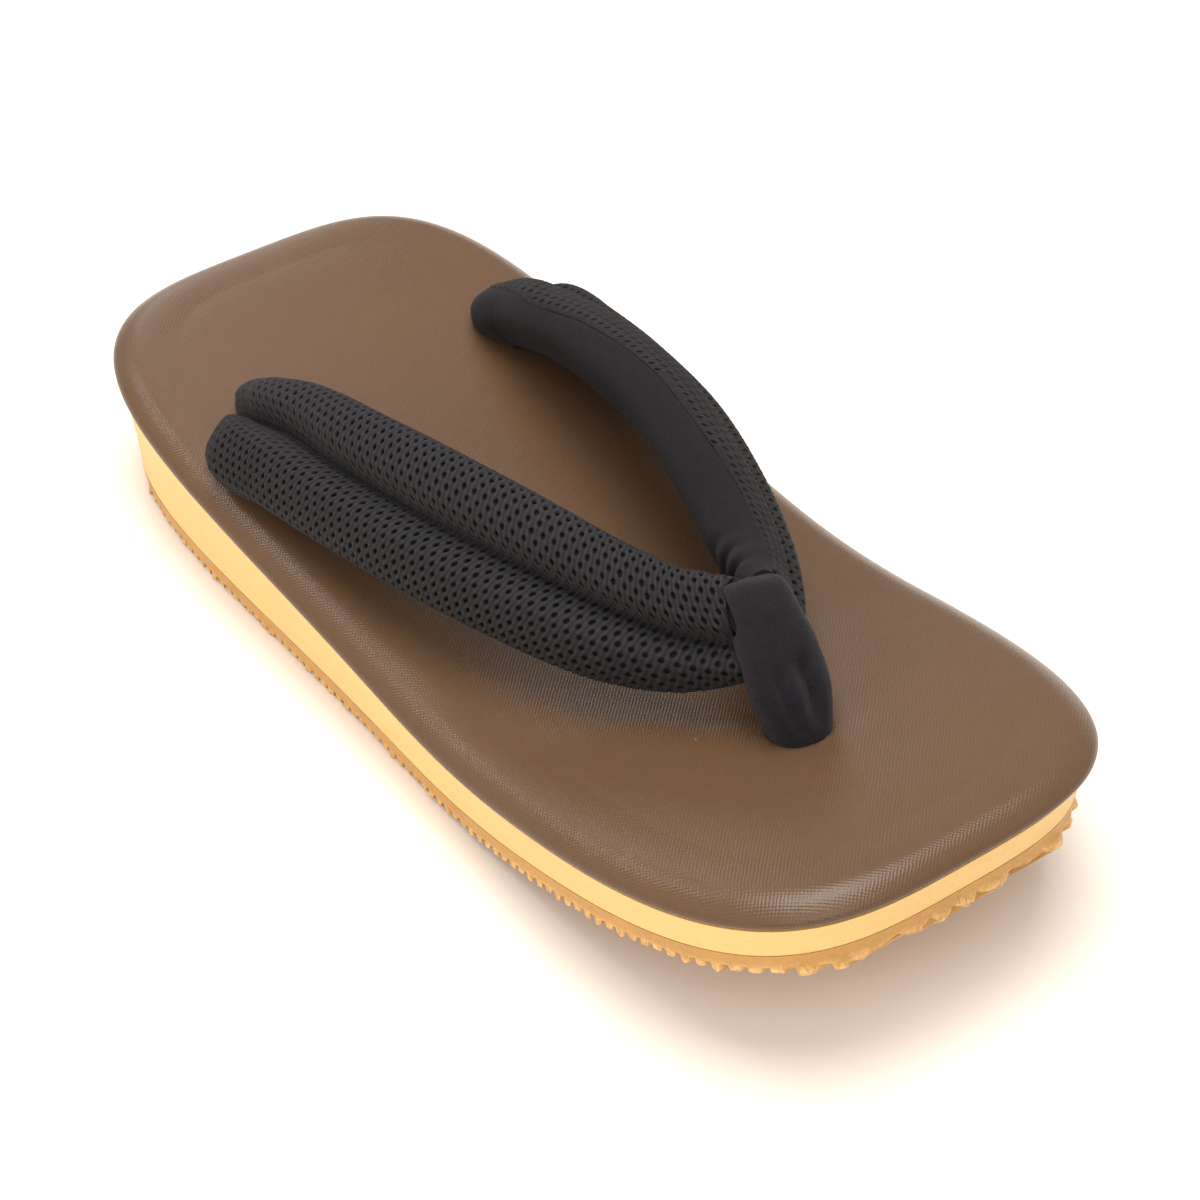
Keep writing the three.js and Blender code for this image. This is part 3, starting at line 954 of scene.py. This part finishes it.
# Each cell has four rings, from its border to the foot of the hole's wall.
YARN_LIFT = np.array([0.1, 0.1, -0.1, -0.5])
YARN_RINGS = np.array([1, 0.42, 0, -0.1])
RIDGE = np.array([0.15, 0.15, 0.08, 0])
# Painted shade in the holes: the share of a near-black colour on each ring, darkening the hole walls as
# shade would.
PIT_PAINTED_SHADE = np.array([0, 0, 0.5, 1])
PLAIN_RINGS = [(1, 0.66), (2, 0.33), (3, 0)]
HOLE_SEED = 3
HOLE_CHANGE = 0.07
MESH_FRONT = 2.0
WALE_TURN = 4 * math.pi / HOLE_PITCH
MESH_COLUMNS = 241
WELD_DISTANCE = 0.02
SLIVER = 0.005


def face_chart(side):
    """An arm's face as a grid with its points, normals and the distances along and across it."""
    place = arm_places()
    turns = np.linspace(FACE_START, math.pi, MESH_COLUMNS)
    points = arm_points(place[:, None], turns[None], side)
    crests = points[:, [MESH_COLUMNS // 4, 3 * MESH_COLUMNS // 4]]
    steps = np.linalg.norm(np.diff(crests, axis=0), axis=2).mean(axis=1)
    reach = np.concatenate([[0], np.cumsum(steps)])
    spread = face_spread(points, turns, seam_turn(place))
    return {
        "points": clear_of_neighbours(points),
        "normals": surface_normals(points),
        "reach": reach,
        "spread": spread,
        "rim": rim_spread(turns, spread),
    }


def on_face(chart, along, across, lift):
    """Places on the face, at distances along and across it, raised by a lift."""
    row = np.interp(along, chart["reach"], np.arange(len(chart["reach"])))
    low = np.minimum(row.astype(int), len(chart["reach"]) - 2)
    total = 0
    for step, weight in ((0, 1 - (row - low)), (1, row - low)):
        column = np.empty(len(across))
        for k in np.unique(low):
            pick = low == k
            column[pick] = np.interp(across[pick], chart["spread"][k + step], np.arange(MESH_COLUMNS))
        left = np.minimum(column.astype(int), MESH_COLUMNS - 2)
        share = (column - left)[:, None]
        spots = []
        for grid in (chart["points"], chart["normals"]):
            spots.append(grid[low + step, left] * (1 - share) + grid[low + step, left + 1] * share)
        total = total + weight[:, None] * (spots[0] + spots[1] * lift[:, None])
    return total


def cell_outline():
    """The six-sided cell around one hole: its corners and the middles of its sides."""
    wide, tall = HOLE_PITCH / 2, ROW_PITCH / 2
    lean = HOLE_PITCH**2 / (8 * ROW_PITCH)
    left = [(0, tall + lean), (-wide, tall - lean), (-wide, lean - tall)]
    right = [(0, -tall - lean), (wide, lean - tall), (wide, tall - lean)]
    corners = np.array(left + right)
    middles = (corners + np.roll(corners, -1, axis=0)) / 2
    return np.stack([corners, middles], axis=1).reshape(-1, 2)


def mesh_cells(chart, side):
    """Rings of points around each hole, their lifts, and which cells at the border are plain."""
    length = chart["reach"][-1]
    rows_out = int(np.abs(chart["spread"]).max() / ROW_PITCH) + 2
    centres = []
    for number in range(-rows_out, rows_out):
        along = np.arange(-MESH_START, length + MESH_END, HOLE_PITCH) + (number % 2) * HOLE_PITCH / 2
        centres.append(np.column_stack([along, np.full(len(along), (number + 0.5) * ROW_PITCH)]))
    centres = np.concatenate(centres)
    outline = cell_outline()
    change = np.random.default_rng(HOLE_SEED).normal(1, HOLE_CHANGE, len(centres))
    hole = HOLE_HALF_SIZE * unit(outline) * change[:, None, None]
    rings = [hole + (outline - hole) * share for share in YARN_RINGS[:3]]
    rings.append(hole * (1 + YARN_RINGS[3]))
    rings = np.stack(rings, axis=1)
    ridges = -np.cos(WALE_TURN * rings[..., 0])
    cells = centres[:, None, None] + rings
    cells[..., 0] -= CHEVRON * np.sqrt(cells[..., 1] ** 2 + CHEVRON_ROUND)
    along = np.clip(cells[..., 0], MESH_REAR[side], length - MESH_FRONT)
    upper_rim = np.interp(along, chart["reach"], chart["rim"])
    lower_rim = np.interp(along, chart["reach"], chart["spread"][:, -1])
    across = np.clip(cells[..., 1], *mesh_limits(along, upper_rim, lower_rim, side))
    cut = (along != cells[..., 0]) | (across != cells[..., 1])
    cells = np.stack([along, across], axis=-1)
    lifts = YARN_LIFT[:, None] + RIDGE[:, None] * ridges
    plain = cut[:, 1:].any(axis=(1, 2))
    middle = cells[plain, 0].mean(axis=1, keepdims=True)
    for ring, share in PLAIN_RINGS:
        cells[plain, ring] = middle + (cells[plain, 0] - middle) * share
    lifts[plain, 1:] = YARN_LIFT[1]
    lifts[:, 0][cut[:, 0]] = EDGE_LIFT
    kept = ~cut[:, 0].all(axis=1)
    return cells[kept], lifts[kept], plain[kept]


def mesh_shape(side):
    """One arm's mesh: points, quads, places on the flat cloth, a mask of its hem and one of painted shade
    in its holes.
    """
    chart = face_chart(side)
    cells, lifts, plain = mesh_cells(chart, side)
    flat = cells.reshape(-1, 2)
    points = on_face(chart, flat[:, 0], flat[:, 1], lifts.ravel())
    index = np.arange(lifts.size).reshape(lifts.shape)
    following = np.roll(index, -1, axis=2)
    corners = [index[:, :-1], following[:, :-1], following[:, 1:], index[:, 1:]]
    quads = np.stack(corners, axis=-1).reshape(-1, 4)
    pit_painted_shade = np.repeat(~plain[:, None] * PIT_PAINTED_SHADE, lifts.shape[2])
    return points * (1, side, 1), quads[:, ::side], flat, np.repeat(plain, lifts[0].size), pit_painted_shade


def weld(piece):
    shell = bmesh.new()
    shell.from_mesh(piece.data)
    bmesh.ops.remove_doubles(shell, verts=shell.verts, dist=WELD_DISTANCE * MM)
    bmesh.ops.dissolve_degenerate(shell, dist=SLIVER * MM, edges=shell.edges)
    shell.to_mesh(piece.data)
    shell.free()


left_mesh, right_mesh = mesh_shape(1), mesh_shape(-1)
both = [np.concatenate(pair) for pair in zip(left_mesh, right_mesh)]
mesh_points, mesh_quads, mesh_lay, mesh_hem, mesh_pit_painted_shade = both
mesh_quads[len(left_mesh[1]) :] += len(left_mesh[0])
strap_mesh = add_piece("strap_mesh_face", mesh_points, mesh_quads.tolist())
keep_lay(strap_mesh, mesh_lay)
keep_mask(strap_mesh, "hem", mesh_hem)
keep_mask(strap_mesh, "pit_painted_shade", mesh_pit_painted_shade)
weld(strap_mesh)

YARN_COLOUR = (0.0295, 0.0255, 0.0265, 1)
YARN_PAINTED_SHADE = (0.008, 0.0072, 0.0076, 1)
YARN_EVEN = 0.35
STRAND_STRETCH = (2.2, 6.0, 1)
STRAND_BRIGHTNESS = (0.2, 0.8)
PIT_PAINTED_SHADE_COLOUR = (0.003, 0.0027, 0.0029, 1)


def mesh_yarn():
    material, tree, shader = new_material("mesh_yarn")
    lay = lay_of(tree)
    strands = noise(tree, stretched(tree, lay, STRAND_STRETCH), scale=1.0, detail=3, roughness=0.6)
    # Painted shade: stripes along the columns of holes darken the yarn, standing in for light and shade
    # on the knit's ridges. The strands add random tone.
    parts = add_node(tree, "ShaderNodeSeparateXYZ", {0: lay}).outputs
    bend = calc(tree, "SQRT", calc(tree, "MULTIPLY_ADD", parts["Y"], parts["Y"], CHEVRON_ROUND))
    column = calc(tree, "MULTIPLY_ADD", bend, CHEVRON, calc(tree, "ADD", parts["X"], MESH_START))
    painted_wale_shade = calc(tree, "COSINE", calc(tree, "MULTIPLY", column, WALE_TURN))
    fuzz = remap(tree, strands, NOISE_SPAN, STRAND_BRIGHTNESS)
    bright = calc(tree, "MULTIPLY_ADD", painted_wale_shade, -0.5 * (1 - YARN_EVEN), fuzz)
    colour = mix_colours(tree, bright, YARN_PAINTED_SHADE, YARN_COLOUR)
    colour = mix_colours(tree, mask_of(tree, "hem"), colour, BACKING_COLOUR)
    # Painted shade: the hole walls are darkened towards a near-black colour.
    colour = mix_colours(tree, mask_of(tree, "pit_painted_shade"), colour, PIT_PAINTED_SHADE_COLOUR)
    colour = mottled(tree, colour, spread=0.12, scale=0.08)
    bump(tree, shader, strands, depth=0.14)
    set_shader(tree, shader, Base_Color=colour, Roughness=0.75, Specular_IOR_Level=0.25)
    set_shader(tree, shader, Sheen_Weight=0.03, Sheen_Roughness=0.4)
    return material


strap_mesh.data.materials.append(mesh_yarn())
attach(strap_mesh, "root")
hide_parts("strap")


# Front loop
# A band of brushed black cloth folded over the point of the V. Both its legs go down together into the
# front hole, which leaves two creases and a fold in its front, and its top is twisted a little.
LOOP_ROWS = np.array([
    # x, z, half depth, half width
    (78.2, 27.2, 4.9, 5.2),
    (78, 32, 5.9, 6.1),
    (75.6, 38.9, 6, 7.8),
    (71.8, 45.6, 5.6, 7.8),
    (67.6, 51.6, 6, 6.9),
    (65.2, 54.9, 5.5, 6.5),
    (63.8, 56.8, 4.5, 6),
    (63.1, 57.7, 3, 5.2),
    (62.8, 58.1, 1.2, 3.6),
])
LOOP_STATIONS = 90
LOOP_TURNS = 72
LOOP_FULLNESS = 0.85
LOOP_SHARP_ABOVE = 40
LOOP_TWIST = -18.0
TWIST_RUN = (0.4, 0.85)
CREASES = [
    # share of the half width, depth, half breadth
    (-0.5, 1.2, 0.15),
    (0.1, 1.6, 0.17),
]
CREASE_FROM = (0.14, 0.34)
CREASE_TO = (0.44, 0.6)
CREASE_ROUND = (0, 0.4)
FOLD_DEPTH = 0.8
FOLD_AT = 0.5
FOLD_WIDTH = 0.06
FOLD_SLANT = 0.03
FOLD_ROUND = (0.1, 0.7)
FOLD_SIDE = (-0.6, 0.2)
CUTTER_FROM = 0.3
CUTTER_STATIONS = 120
CUTTER_TURNS = 48


def loop_shell():
    place = np.linspace(0, 1, LOOP_STATIONS)
    rows = smooth_rows(LOOP_ROWS, place, 2)
    ahead = unit(np.gradient(rows[:, :2], axis=0))
    turn = full_turn(LOOP_TURNS)[None]
    crease = sum(depth * bell((np.sin(turn) - at) / wide) for at, depth, wide in CREASES)
    run = ramp(place, *CREASE_FROM) * (1 - ramp(place, *CREASE_TO))
    crease = crease * ramp(np.cos(turn), *CREASE_ROUND) * run[:, None]
    fold_place = (place[:, None] - FOLD_AT - FOLD_SLANT * np.sin(turn)) / FOLD_WIDTH
    fold = FOLD_DEPTH * bell(fold_place) * ramp(np.cos(turn), *FOLD_ROUND)
    fold = fold * ramp(np.sin(turn), *FOLD_SIDE)
    reach = power(np.cos(turn), LOOP_FULLNESS) * rows[:, 2:3] - crease - fold
    x = rows[:, :1] + reach * ahead[:, 1:2]
    z = rows[:, 1:2] - reach * ahead[:, :1]
    y = power(np.sin(turn), LOOP_FULLNESS) * rows[:, 3:4]
    twist = np.radians(LOOP_TWIST) * ramp(place, *TWIST_RUN)[:, None]
    off = x - rows[:, :1]
    x = rows[:, :1] + off * np.cos(twist) - y * np.sin(twist)
    y = off * np.sin(twist) + y * np.cos(twist)
    return np.stack([x, y, z], axis=2)


def cut_away(piece, shell):
    """Takes the space of a closed shell out of a piece."""
    cutter = add_piece("cutter", *joined([shell]))
    face_outwards(cutter)
    cut = piece.modifiers.new("cut", "BOOLEAN")
    cut.operation = "DIFFERENCE"
    cut.solver = "EXACT"
    cut.object = cutter
    shown = piece.evaluated_get(bpy.context.evaluated_depsgraph_get())
    mesh = bpy.data.meshes.new_from_object(shown)
    piece.modifiers.remove(cut)
    piece.data = mesh
    bpy.data.objects.remove(cutter)


loop = add_piece("front_loop_cloth", *joined([loop_shell()]))
face_outwards(loop)
cutter_places = np.linspace(CUTTER_FROM, 1, CUTTER_STATIONS)[:, None]
cutter_turns = full_turn(CUTTER_TURNS)[None]
arm_room = arm_points(cutter_places, cutter_turns, 1, GAP)
cut_away(loop, arm_room)
cut_away(loop, arm_room * MIRROR)
loop.data.shade_smooth()
loop.data.set_sharp_from_angle(angle=math.radians(LOOP_SHARP_ABOVE))

LOOP_COLOUR = (0.0145, 0.0124, 0.0142, 1)
LOOP_PAINTED_SHADE = (0.0135, 0.011, 0.0145, 1)
# Painted shade: the cloth darkens towards the bottom between these two heights, where the lower part
# faces away from the light above.
LOOP_PAINTED_SHADE_BETWEEN = (51, 41)


def loop_cloth():
    material, tree, shader = new_material("loop_cloth")
    height = add_node(tree, "ShaderNodeSeparateXYZ", {0: place_in_mm(tree)}).outputs["Z"]
    # Painted shade towards the bottom of the loop.
    base = mix_colours(tree, remap(tree, height, LOOP_PAINTED_SHADE_BETWEEN), LOOP_COLOUR, LOOP_PAINTED_SHADE)
    nap = place_group(tree, NAP, {"Colour": base, "Scale": 2.0})
    colour = place_group(tree, SPECKS, {"Colour": nap["Colour"], "Scale": 0.3, "Size": 0.1})["Colour"]
    bump(tree, shader, nap["Height"], depth=0.3)
    set_shader(tree, shader, Base_Color=colour, Roughness=0.95, Specular_IOR_Level=0.18)
    set_shader(tree, shader, Sheen_Weight=0.08, Sheen_Roughness=0.5)
    return material


loop.data.materials.clear()
loop.data.materials.append(loop_cloth())
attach(loop, "root")
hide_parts("front_loop")


# Stage
# A plain pale floor under soft studio light: a broad lamp overhead, weaker ones behind the heel, at the
# right side and in front, and an even light from all around. Places of lamps and camera are in metres.
FLOOR_HALF_SIZE = 4000
FLOOR_COLOUR = (0.92, 0.845, 0.765, 1)
FLOOR_DROP = 0.05
CAMERA_PLACE = (0.3819, -0.2505, 0.3889)
CAMERA_AIM = (0.0132, 0.0002, 0.02)
CAMERA_ROLL = -2.11
LENS = 85
CLIP_START = 0.01
WORLD_COLOUR = (1, 0.965, 0.925, 1)
WORLD_STRENGTH = 0.5
LAMPS = [
    # name, place, size, watts, whether it shows in gloss
    ("overhead", (-0.12, 0.12, 1.5), 1.0, 21.5, True),
    ("key", (-0.95, -0.4, 0.92), 0.25, 1.9, True),
    ("back", (-1.25, 0.35, 0.6), 0.5, 2, True),
    ("side", (0.2, -1.2, 0.55), 0.8, 5.5, False),
    ("front", (0.9, -0.42, 1.0), 1.0, 6, True),
]


def add_floor():
    corners = [(-1, -1), (1, -1), (1, 1), (-1, 1)]
    points = [(x * FLOOR_HALF_SIZE, y * FLOOR_HALF_SIZE, -FLOOR_DROP) for x, y in corners]
    floor = add_piece("floor", points, [(0, 1, 2, 3)])
    material, tree, shader = new_material("pale_floor")
    tone = mottled(tree, FLOOR_COLOUR, spread=0.01, scale=0.02)
    set_shader(tree, shader, Base_Color=tone, Roughness=0.55, Specular_IOR_Level=0.3)
    floor.data.materials.append(material)
    return floor


def add_lamps():
    for name, place, size, watts, glossy in LAMPS:
        lamp = bpy.data.lights.new(name, "AREA")
        lamp.size = size
        lamp.energy = watts
        holder = bpy.data.objects.new(name, lamp)
        holder.location = place
        holder.visible_glossy = glossy
        holder.rotation_euler = (-Vector(place)).to_track_quat("-Z", "Y").to_euler()
        bpy.context.scene.collection.objects.link(holder)
    world = bpy.data.worlds.new("studio")
    world.use_nodes = True
    sky = world.node_tree.nodes["Background"]
    set_shader(world.node_tree, sky, Color=WORLD_COLOUR, Strength=WORLD_STRENGTH)
    bpy.context.scene.world = world


def add_camera():
    camera = bpy.data.objects.new("camera", bpy.data.cameras.new("camera"))
    camera.data.lens = LENS
    camera.data.clip_start = CLIP_START
    camera.location = CAMERA_PLACE
    look = Vector(CAMERA_AIM) - Vector(CAMERA_PLACE)
    turn = look.to_track_quat("-Z", "Y") @ Euler((0, 0, math.radians(CAMERA_ROLL))).to_quaternion()
    camera.rotation_euler = turn.to_euler()
    bpy.context.scene.collection.objects.link(camera)
    bpy.context.scene.camera = camera


add_floor()
add_lamps()
add_camera()
bpy.context.scene.view_settings.view_transform = "Standard"
